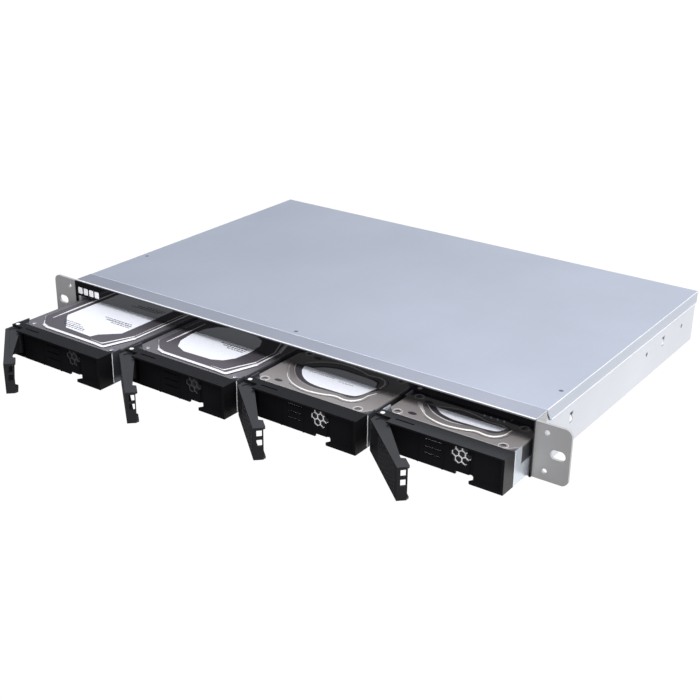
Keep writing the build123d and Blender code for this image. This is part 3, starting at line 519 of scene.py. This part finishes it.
# name, path, (width, height), depth of its foot below the lid's top, material (a painted highlight)
RIDGES = (
    ("lid_side_ridge", SIDE_RIDGE, (1.7, 0.5), 0.35, RIDGE_PAINTED_DIM_HIGHLIGHT),
    ("lid_ridge", FRONT_RIDGE, (3.0, 0.7), 0.4, RIDGE_PAINTED_HIGHLIGHT),
    ("lid_inner_ridge", INNER_RIDGE, (1.1, 0.45), 0.1, RIDGE_PAINTED_HIGHLIGHT),
    ("lid_left_ridge", LEFT_RIDGE, (3.3, 0.7), 0.15, RIDGE_PAINTED_HIGHLIGHT),
)
DARK_SCREWS = ((10.5, 20.5), (97.8, 19.6), (4.6, 90.0), (99.6, 92.0), (6.5, 157.0), (97.5, 157.0))
DARK_SCREW_R = 1.7
LABEL_CORNER = 1.2
LABEL_SINK = 0.05
LABEL_TOP = LID_TOP + 0.1
PRINT_SINK = 0.01

BULGE = smooth_path([(3.6, 72.0), (7.0, 50.5), (17.5, 34.2), (31.0, 23.4), (45.0, 19.6), (58.0, 21.2),
                     (68.0, 24.4), (77.4, 23.4), (83.6, 26.0), (87.2, 32.0), (87.6, 39.4), (90.8, 46.0),
                     (94.6, 54.0), (97.6, 68.0), (97.6, 84.0), (95.0, 112.0), (88.0, 136.0), (70.0, 146.0),
                     (40.0, 148.0), (16.0, 140.0), (6.0, 118.0), (3.4, 94.0)], 5, True)
BULGE_SHOULDER = (2.6, 0.75)
BULGE_TOP = LID_TOP - 0.2
ARC = smooth_path([(6.0, 112.0), (5.2, 84.0), (6.6, 62.0), (11.4, 46.2), (20.0, 34.6), (31.0, 26.4)])
ARC_HEIGHT = 0.55
ARC_FOOT = LID_TOP - 0.62
INNER_ARC = smooth_path([(9.4, 108.0), (8.8, 84.0), (10.2, 64.0), (14.6, 49.4), (22.6, 38.4), (33.0, 30.6),
                         (45.5, 26.8), (57.0, 27.6)])
INNER_ARC_SIZE = (1.1, 0.3)
INNER_ARC_FOOT = LID_TOP - 0.26
FRONT_LINE = smooth_path([(15.4, 38.4), (22.0, 30.8), (32.0, 23.9), (45.0, 20.5), (58.0, 22.1), (68.0, 25.3),
                          (77.2, 24.4), (82.8, 26.8), (86.2, 32.4), (86.8, 39.6), (89.6, 46.4)], 5)
FRONT_LINE_SIZE = (1.5, 0.6)
# Path of a low dark bead under the front line, painted shade of a groove.
GROOVE = smooth_path([(28.0, 24.2), (32.0, 21.9), (45.0, 18.5), (58.0, 20.1), (68.0, 23.3), (77.6, 22.2),
                      (84.6, 25.0), (88.4, 31.6), (89.0, 39.2)], 5)
GROOVE_SIZE = (0.9, 0.12)
GROOVE_FOOT = DECK_HIGH + 0.16
LONG_FADE = 8
LINE_FADE = 14
# Outline of the dark band round the label, a painted shade.
SHADE_RING = smooth_path([(10.4, 72.0), (12.6, 53.0), (19.5, 40.6), (31.0, 31.2), (45.5, 27.6), (58.0, 28.4),
                    (70.0, 29.6), (78.0, 28.8), (82.6, 32.8), (83.8, 40.6), (87.0, 48.0), (91.0, 60.0),
                    (92.4, 84.0), (89.0, 112.0), (83.0, 130.0), (66.0, 139.0), (40.0, 141.0), (20.0, 134.0),
                    (12.6, 116.0), (11.0, 94.0)], 5, True)
SHADE_RING_HEIGHTS = (LID_TOP - 0.3, LID_TOP - 0.12)
DISHES = ((9.5, 19.5), (92.5, 19.0), (7.0, 156.0), (97.0, 156.0))
DISH_R = 3.4
DISH_STEPS = 24
DISH_SCREW_R = 1.9
DISH_RIM = (0.8, 0.3)
DISH_FOOT = DECK_HIGH + 0.15
PLUG = ellipse(19.5, 22.8, 3.4, 2.0, 32)
PLUG_RISE = 0.24

LABEL_1 = [(20.6, 138.0), (20.6, 47.0), (24.0, 43.0), (38.8, 28.3), (67.3, 26.9), (69.6, 33.2),
           (83.0, 46.0), (83.4, 138.0)]
LABEL_2 = [(20.0, 138.0), (20.4, 58.0), (22.4, 44.0), (28.0, 35.0), (38.0, 30.6), (64.6, 31.6),
           (73.0, 35.8), (78.0, 44.0), (79.6, 56.0), (80.0, 138.0)]
ROUND_LABEL = [(20.0, 72.0), (20.6, 56.0), (24.0, 45.0), (34.0, 34.8), (46.0, 30.6), (60.0, 30.6),
               (75.0, 31.4), (81.6, 35.0), (84.4, 46.0), (86.6, 60.0), (87.0, 84.0), (84.0, 110.0),
               (74.0, 130.0), (48.0, 135.0), (27.0, 130.0), (20.0, 104.0)]
# printed rows: x from, x to, y, height
ROWS_1 = [(26, 44, 38.5, 0.7), (28, 50, 35.8, 0.7), (31, 54, 33.0, 0.9), (36, 56, 30.6, 0.7),
          (48, 78, 62.0, 0.8), (52, 80, 59.0, 1.1), (60, 80, 56.4, 0.8), (30, 74, 84.0, 1.0),
          (30, 74, 90.0, 1.0), (30, 60, 96.0, 1.0), (30, 74, 118.0, 1.0)]
ROWS_2 = [(50, 76, 60.0, 0.9), (54, 76, 57.4, 0.9), (60, 76, 54.8, 0.9), (30, 72, 84.0, 1.0),
          (30, 72, 90.0, 1.0), (30, 60, 96.0, 1.0), (30, 72, 118.0, 1.0)]
ROUND_ROWS = [(29, 52, 47.2, 0.4), (57, 70, 45.0, 0.4), (34, 74, 56.0, 0.8), (34, 70, 59.0, 0.8),
              (34, 74, 84.0, 1.0), (34, 70, 90.0, 1.0), (34, 60, 96.0, 1.0)]


class Lid:
    """The pieces on top of one drive, all placed at its tray and riding on it."""

    def __init__(self, number):
        self.prefix = f"tray{number}_"
        self.origin = tray_origin(number)
        self.body = f"tray{number}"

    def put(self, obj, material):
        place(obj, self.origin, material, self.body)
        return obj

    def prism(self, name, outline, low, high, material, shoulder=(0.0, 0.0), smooth=0):
        bm = bmesh.new()
        add_prism(bm, outline, low, high, *shoulder)
        obj = from_bmesh(self.prefix + name, bm)
        if smooth:
            shade_smooth(obj, smooth)
        return self.put(obj, material)

    def bead(self, name, path, size, foot, material, closed=False, fade=2):
        self.put(bead(self.prefix + name, path, size, foot, closed, fade), material)

    def print_rows(self, rows, foot, seed):
        """Rows of small printed bars, standing for the fine print of a blank label."""
        draw = random.Random(seed)
        bm = bmesh.new()
        for start, end, y, height in rows:
            x = start
            while x < end:
                length = draw.uniform(*BAR_LENGTHS)
                add_box(bm, x, min(x + length, end), y, y + BAR_HEIGHT * height, foot, foot + INK_DEPTH)
                x += length + draw.uniform(*BAR_GAPS)
        self.put(from_bmesh(self.prefix + "label_print", bm), INK)

    def screws(self, places, z, radius, material):
        bm = bmesh.new()
        for x, y in places:
            add_star_screw(bm, x, y, z, radius)
        self.put(shade_smooth(from_bmesh(self.prefix + "lid_screws", bm), SCREW_SMOOTH), material)


def add_star_screw(bm, x, y, z, radius):
    """Low pan-head screw with a small raised star on it."""
    add_disc(bm, x, y, radius, z - SCREW_SINK, z + SCREW_RISE, *SCREW_SHOULDER)
    for k in range(3):
        c = math.cos(math.pi * k / 3)
        t = math.sin(math.pi * k / 3)
        corners = [(x + c * a - t * b, y + t * a + c * b) for a, b in STAR_BAR]
        add_prism(bm, corners, z + STAR_LOW, z + STAR_HIGH)


def dark_lid(number, label, rows):
    """Lid with a straight-sided plateau, a coined ridge along its edge painted light grey to near-white as a
    highlight, and a paper label.
    """
    lid = Lid(number)
    lid.prism("lid_deck", DECK, DECK_LOW, DECK_HIGH, LID_DECK, DECK_SHOULDER, LID_SMOOTH)
    plateau = lid.prism("lid", PLATEAU, PLATEAU_LOW, LID_TOP, LID_DARK, PLATEAU_SHOULDER, LID_SMOOTH)
    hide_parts(f"tray{number}_drive_lid")
    for name, path, size, sink, material in RIDGES:
        lid.bead(name, path, size, LID_TOP - sink, material)
    lid.prism("label", rounded(label, LABEL_CORNER), LID_TOP - LABEL_SINK, LABEL_TOP, LABEL)
    lid.print_rows(rows, LABEL_TOP - PRINT_SINK, number)
    lid.screws(DARK_SCREWS, DECK_HIGH, DARK_SCREW_R, SCREW)


def light_lid(number, arc_material, arc_width):
    """Lid with a round bulge over the platters, a coined line along its front and a large paper label; the
    cream line, the pale arcs and the dish rims are painted highlights, and the darker bulge, the dark ring
    round the label and the dark groove line are painted shade.
    """
    lid = Lid(number)
    deck = lid.prism("lid", DECK, DECK_LOW, LIGHT_DECK_HIGH, LID_LIGHT, DECK_SHOULDER, LID_SMOOTH)
    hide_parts(f"tray{number}_drive_lid")
    # the bulge is the same sheet painted darker: painted shade
    lid.prism("lid_bulge", BULGE, DECK_HIGH, BULGE_TOP, BULGE_PAINTED_SHADE, BULGE_SHOULDER, LID_SMOOTH)
    lid.bead("lid_arc", ARC, (arc_width, ARC_HEIGHT), ARC_FOOT, arc_material, fade=LONG_FADE)
    lid.bead("lid_inner_arc", INNER_ARC, INNER_ARC_SIZE, INNER_ARC_FOOT, arc_material, fade=LONG_FADE)
    lid.bead("lid_line", FRONT_LINE, FRONT_LINE_SIZE, ARC_FOOT, LINE_PAINTED_HIGHLIGHT, fade=LINE_FADE)
    # painted shade of a groove
    lid.bead("lid_groove_painted_shade", GROOVE, GROOVE_SIZE, GROOVE_FOOT, LID_DARK_PLUG_AND_GROOVE_SHADE, fade=LONG_FADE)
    # painted shade round the label
    lid.prism("lid_ring", SHADE_RING, *SHADE_RING_HEIGHTS, LID_RING_PAINTED_SHADE)
    lid.prism("label", smooth_path(ROUND_LABEL, 5, True), BULGE_TOP, LID_TOP, LABEL)
    lid.print_rows(ROUND_ROWS, LID_TOP - PRINT_SINK, number)
    lid.screws(DISHES, LIGHT_DECK_HIGH, DISH_SCREW_R, LID_SCREW)
    for k, (x, y) in enumerate(DISHES):
        rim = ellipse(x, y, DISH_R, DISH_R, DISH_STEPS)
        # pale rims: a painted highlight
        lid.bead(f"lid_dish{k + 1}", rim, DISH_RIM, DISH_FOOT, LID_PAINTED_HIGHLIGHT, closed=True)
    lid.prism("lid_plug", PLUG, DECK_HIGH, DECK_HIGH + PLUG_RISE, LID_DARK_PLUG_AND_GROOVE_SHADE)


def build_drives():
    dark_lid(1, LABEL_1, ROWS_1)
    dark_lid(2, LABEL_2, ROWS_2)
    light_lid(3, LID_LIGHT, arc_width=2.2)
    # lid 4's arcs take the pale painted highlight
    light_lid(4, LID_PAINTED_HIGHLIGHT, arc_width=4.6)


# ------------------------------------------------------------------ levers
LATTICE_START = 30.0
LATTICE_END = 75.4
LATTICE_LOW = 3.2
LATTICE_HIGH = 24.6
LATTICE_HALF = 0.16
LATTICE_SINK = 0.05
LATTICE_RISE = 0.16
CELL = 3.0
HEX_RATIO = 0.866
HEX_STEP = 1.5


def lever_frame(number):
    """Places lever-local millimetres, drawn closed, at the opened lever."""
    pivot = Vector((PIVOT[0] * MM, PIVOT[1] * MM, 0))
    return (Matrix.Translation(tray_origin(number) + pivot) @ Matrix.Rotation(-LEVER_OPEN, 4, "Z")
            @ Matrix.Translation(-pivot))


def cell_corners(cx, cz):
    """Four corners of a hexagonal cell, which give three walls; its neighbours bring the others."""
    radius = CELL / math.sqrt(3)
    angles = [math.radians(60 * k) for k in range(4)]
    return [(cx + radius * math.cos(angle), cz + radius * math.sin(angle)) for angle in angles]


def on_lever(corner):
    x, z = corner
    return LATTICE_LOW <= z <= LATTICE_HIGH and x <= LATTICE_END


def add_cell_wall(bm, start, end):
    a = Vector(start)
    b = Vector(end)
    along = (b - a).normalized()
    side = Vector((-along.y, along.x)) * LATTICE_HALF
    add_slab(bm, [a + side, a - side, b - side, b + side], LATTICE_SINK, -LATTICE_RISE)


def build_lattice(number):
    """Fine raised honeycomb on the outer face of the lever."""
    bm = bmesh.new()
    rows = int((LATTICE_HIGH - LATTICE_LOW) / (CELL * HEX_RATIO)) + 1
    columns = int((LATTICE_END - LATTICE_START) / (CELL * HEX_STEP)) + 1
    for column in range(columns):
        for row in range(rows):
            cx = LATTICE_START + column * CELL * HEX_STEP * HEX_RATIO
            cz = LATTICE_LOW + (row + 0.5 * (column % 2)) * CELL
            corners = cell_corners(cx, cz)
            for start, end in zip(corners, corners[1:]):
                if on_lever(start) and on_lever(end):
                    add_cell_wall(bm, start, end)
    lattice = from_bmesh(f"lever{number}_lattice", bm)
    lattice.matrix_world = lever_frame(number)
    lattice.data.materials.append(LATTICE)
    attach(lattice, f"lever{number}")


# ------------------------------------------------------------------ chassis trim
MARK_START = 3.6
MARK_PITCH = 6.4
MARK_WIDTH = 5.0
MARK_LOW = 32.6
MARK_HIGH = 38.2
MARK_CORNER = 1.0
MARK_SINK = 0.02
MARK_RISE = 0.05

DIMPLES = ((-209.0, 78.0), (0.5, 21.8), (209.0, 48.5))
DIMPLE_R = 1.7
DIMPLE_HEIGHTS = (43.4, 43.62)
DIMPLE_SHOULDER = (0.7, 0.12)

CROSS_BEND_X = 214.6
CROSS_BEND_YZ = (0.35, 42.95)
CROSS_BEND_R = 0.55
# name, x, front y, back y, z, radius
SIDE_EDGES = (
    ("cover_bend", 214.72, 17.2, 291.4, 43.2, 0.33),
    ("flange_hem", 214.9, 24.0, 290.8, 33.2, 0.5),
    ("crossmember_end", 214.72, 0.8, 16.0, 43.1, 0.35),
)

PIN_HEAD_R = 1.7
PIN_HEAD_HEIGHTS = (27.5, 28.1)
PIN_HEAD_SHOULDER = (0.6, 0.35)

WALL_EDGE_R = 0.42
WALL_EDGE_BEVEL = 0.1
WALL_EDGE_TOP = 0.6  # its ends stay this far inside the carrier's wall
WALL_EDGE_BOTTOM = 1.0
WALL_EDGE_IN = 0.1
WALL_EDGE_BACK = 0.5
CAP_ANGLE = 1.2

LANCES_Y = (58.4, 225.0)
LANCE_HALF = 2.3
LANCE_PROFILE = ((213.9, 17.4), (213.9, 18.2), (212.6, 21.6), (212.6, 20.8))


def build_strip_mark():
    """Four small printed squares at the left end, one for each bay."""
    low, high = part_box("front_strip")
    face_y = low.y / MM
    bm = bmesh.new()
    for k in range(len(TRAYS)):
        x = low.x / MM + MARK_START + MARK_PITCH * k
        end = x + MARK_WIDTH
        square = rounded([(x, MARK_LOW), (end, MARK_LOW), (end, MARK_HIGH), (x, MARK_HIGH)], MARK_CORNER)
        add_slab(bm, square, face_y + MARK_SINK, face_y - MARK_RISE)
    mark = from_bmesh("strip_mark", bm)
    mark.location = chassis_origin()
    mark.data.materials.append(PRINT_WHITE)
    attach(mark, "chassis")


def build_cover_dimples():
    """Shallow pressed dimples over the spot welds near the front of the cover."""
    bm = bmesh.new()
    for x, y in DIMPLES:
        add_disc(bm, x, y, DIMPLE_R, *DIMPLE_HEIGHTS, *DIMPLE_SHOULDER)
    place(shade_smooth(from_bmesh("cover_dimples", bm)), chassis_origin(), DIMPLE, "chassis")


def wire_along(name, start, end, radius):
    """Thin rounded sheet edge between two points, in millimetres from the chassis bottom, painted near-white
    as a highlight.
    """
    curve = bpy.data.curves.new(name, "CURVE")
    curve.dimensions = "3D"
    curve.bevel_depth = radius * MM
    curve.bevel_resolution = 3
    curve.use_fill_caps = True
    spline = curve.splines.new("POLY")
    spline.points.add(1)
    for point, corner in zip(spline.points, (start, end)):
        point.co = (*(Vector(corner) * MM), 1)
    place(link(name, curve), chassis_origin(), BENT_EDGE_PAINTED_HIGHLIGHT, "chassis")


def build_bent_edges():
    """Rolled edges of the sheet along the top and the sides, drawn as near-white wires: painted highlights
    where the bends catch the light.
    """
    left = (-CROSS_BEND_X, *CROSS_BEND_YZ)
    right = (CROSS_BEND_X, *CROSS_BEND_YZ)
    wire_along("crossmember_bend", left, right, CROSS_BEND_R)
    for side, label in ((-1, "left"), (1, "right")):
        for name, x, front, back, z, radius in SIDE_EDGES:
            wire_along(f"{name}_{label}", (side * x, front, z), (side * x, back, z), radius)


def build_pin_head(number):
    """Domed head of the hinge pin, above the tray's top wall, near-white as a painted highlight."""
    bm = bmesh.new()
    add_disc(bm, *PIVOT, PIN_HEAD_R, *PIN_HEAD_HEIGHTS, *PIN_HEAD_SHOULDER)
    head = shade_smooth(from_bmesh(f"tray{number}_pin_head", bm))
    place(head, tray_origin(number), SCREEN, f"tray{number}")


def build_carrier_edge(number):
    """Rolled front edge of the carrier's right wall, just behind the bezel, near-white as a painted
    highlight.
    """
    low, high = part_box(f"tray{number}_carrier")
    bezel_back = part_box(f"tray{number}_bezel")[1].y
    top = high.z - WALL_EDGE_TOP * MM
    bottom = low.z + WALL_EDGE_BOTTOM * MM
    radius = WALL_EDGE_R * MM
    bm = bmesh.new()
    bmesh.ops.create_cone(bm, cap_ends=True, segments=12, radius1=radius, radius2=radius, depth=top - bottom)
    rims = [edge for edge in bm.edges if edge.calc_face_angle(0) > CAP_ANGLE]
    bmesh.ops.bevel(bm, geom=rims, offset=WALL_EDGE_BEVEL * MM, segments=2, affect="EDGES")
    middle = (high.x - WALL_EDGE_IN * MM, bezel_back + WALL_EDGE_BACK * MM, (top + bottom) / 2)
    place(shade_smooth(from_bmesh(f"tray{number}_carrier_edge", bm)), middle, SCREEN, f"tray{number}")


def build_lances():
    """Half-sheared tongues that stand inward from each side slot, near-white as a painted highlight."""
    bm = bmesh.new()
    for side in (-1, 1):
        for y in LANCES_Y:
            add_slab(bm, [(side * x, z) for x, z in LANCE_PROFILE], y - LANCE_HALF, y + LANCE_HALF)
    place(from_bmesh("side_lances", bm), chassis_origin(), BENT_EDGE_PAINTED_HIGHLIGHT, "chassis")


# ------------------------------------------------------------------ stage
CAMERA_PLACE = (0.5203, -0.6493, 0.4025 - HALF_HEIGHT * MM)
CAMERA_AZIMUTH = math.radians(34.98)
CAMERA_ELEVATION = math.radians(23.79)
CAMERA_ROLL = math.radians(0.8)
CAMERA_LENS = 62.42
CAMERA_SENSOR = 36.0
CAMERA_CLIP = (0.01, 50.0)
WORLD_UP = (0.2, 0.25, 0.95)  # the surround is brightest toward this direction
WORLD_STOPS = ((0.0, (0.05, 0.05, 0.055)), (0.5, (0.10, 0.10, 0.11)), (0.68, (0.23, 0.24, 0.28)),
               (0.735, (0.74, 0.77, 0.87)), (0.77, (1.20, 1.24, 1.35)), (1.0, (0.72, 0.73, 0.75)))
PAPER_GLOW = 1.02
FLOOR_HALF = 8.0
FLOOR_GAP = 0.0005
DOME_R = 7.9
# name, place, point that it faces, (width, height), watts
LIGHTS = (
    ("key", (0.75, -0.55, 2.0), (0.1, 0.0, 0), (2.2, 2.2), 15),
    ("edge", (-0.9, -0.7, 1.4), (0, 0, 0), (1.2, 0.25), 4),
    ("fill", (1.2, -1.45, 0.6), (0.05, 0, 0), (1.8, 1.3), 26),
    ("side", (1.05, 1.15, -0.5), (0.2, 0.15, 0), (1.6, 1.6), 7.5),
)


def add_camera():
    """Long-lens view from the front right, as a product photograph is taken."""
    level = math.cos(CAMERA_ELEVATION)
    forward = Vector((-math.sin(CAMERA_AZIMUTH) * level, math.cos(CAMERA_AZIMUTH) * level,
                      -math.sin(CAMERA_ELEVATION)))
    flat_right = forward.cross(Vector((0, 0, 1))).normalized()
    flat_up = flat_right.cross(forward)
    right = flat_right * math.cos(CAMERA_ROLL) + flat_up * math.sin(CAMERA_ROLL)
    up = flat_up * math.cos(CAMERA_ROLL) - flat_right * math.sin(CAMERA_ROLL)
    data = bpy.data.cameras.new("camera")
    data.sensor_width = CAMERA_SENSOR
    data.lens = CAMERA_LENS
    data.clip_start, data.clip_end = CAMERA_CLIP
    camera = link("camera", data)
    turn = Matrix((right, up, -forward)).transposed().to_4x4()
    camera.matrix_world = Matrix.Translation(CAMERA_PLACE) @ turn
    bpy.context.scene.camera = camera


def add_world():
    """Soft studio surround: dark in front and below, white overhead and to the right."""
    world = bpy.data.worlds.new("studio")
    bpy.context.scene.world = world
    world.use_nodes = True
    nodes = world.node_tree.nodes
    links = world.node_tree.links
    coords = nodes.new("ShaderNodeTexCoord")
    facing = nodes.new("ShaderNodeVectorMath")
    facing.operation = "DOT_PRODUCT"
    facing.inputs[1].default_value = WORLD_UP
    spread = nodes.new("ShaderNodeMapRange")
    spread.inputs["From Min"].default_value = -1.0
    spread.inputs["From Max"].default_value = 1.0
    ramp = nodes.new("ShaderNodeValToRGB")
    elements = ramp.color_ramp.elements
    while len(elements) < len(WORLD_STOPS):
        elements.new(0.5)
    for element, (position, color) in zip(elements, WORLD_STOPS):
        element.position = position
        element.color = (*color, 1)
    links.new(coords.outputs["Generated"], facing.inputs[0])
    links.new(facing.outputs["Value"], spread.inputs["Value"])
    links.new(spread.outputs["Result"], ramp.inputs["Fac"])
    links.new(ramp.outputs["Color"], nodes["Background"].inputs["Color"])
    nodes["Background"].inputs["Strength"].default_value = 1.0


def white_paper(name):
    """Evenly lit white paper, which shows no shadow."""
    material = bpy.data.materials.new(name)
    material.use_nodes = True
    nodes = material.node_tree.nodes
    nodes.clear()
    glow = nodes.new("ShaderNodeEmission")
    glow.inputs["Color"].default_value = (1, 1, 1, 1)
    glow.inputs["Strength"].default_value = PAPER_GLOW
    output = nodes.new("ShaderNodeOutputMaterial")
    material.node_tree.links.new(glow.outputs["Emission"], output.inputs["Surface"])
    return material


def add_backdrop():
    """White floor and a white dome behind everything; neither lights the object."""
    bm = bmesh.new()
    bmesh.ops.create_grid(bm, x_segments=1, y_segments=1, size=FLOOR_HALF)
    floor = from_bmesh("floor", bm)
    floor.location = (0, 0, -HALF_HEIGHT * MM - FLOOR_GAP)
    bm = bmesh.new()
    bmesh.ops.create_uvsphere(bm, u_segments=32, v_segments=16, radius=DOME_R)
    dome = from_bmesh("dome", bm)
    for obj in (floor, dome):
        obj.data.materials.append(white_paper(obj.name + "_paper"))
        obj.visible_diffuse = False
        obj.visible_glossy = False
        obj.visible_transmission = False
        obj.visible_volume_scatter = False
        obj.visible_shadow = False


def add_lights():
    for name, location, target, size, power in LIGHTS:
        data = bpy.data.lights.new(name, "AREA")
        data.shape = "RECTANGLE"
        data.size, data.size_y = size
        data.energy = power
        light = link(name, data)
        light.location = location
        light.rotation_euler = (Vector(target) - Vector(location)).to_track_quat("-Z", "Y").to_euler()


# ------------------------------------------------------------------ build
dress_all()
finish_nodes()
build_drives()
for tray in TRAYS:
    build_lattice(tray)
build_strip_mark()
build_cover_dimples()
build_lances()
build_bent_edges()
for tray in TRAYS:
    build_pin_head(tray)
    build_carrier_edge(tray)
add_camera()
add_world()
add_backdrop()
add_lights()
bpy.context.scene.view_settings.view_transform = "Standard"
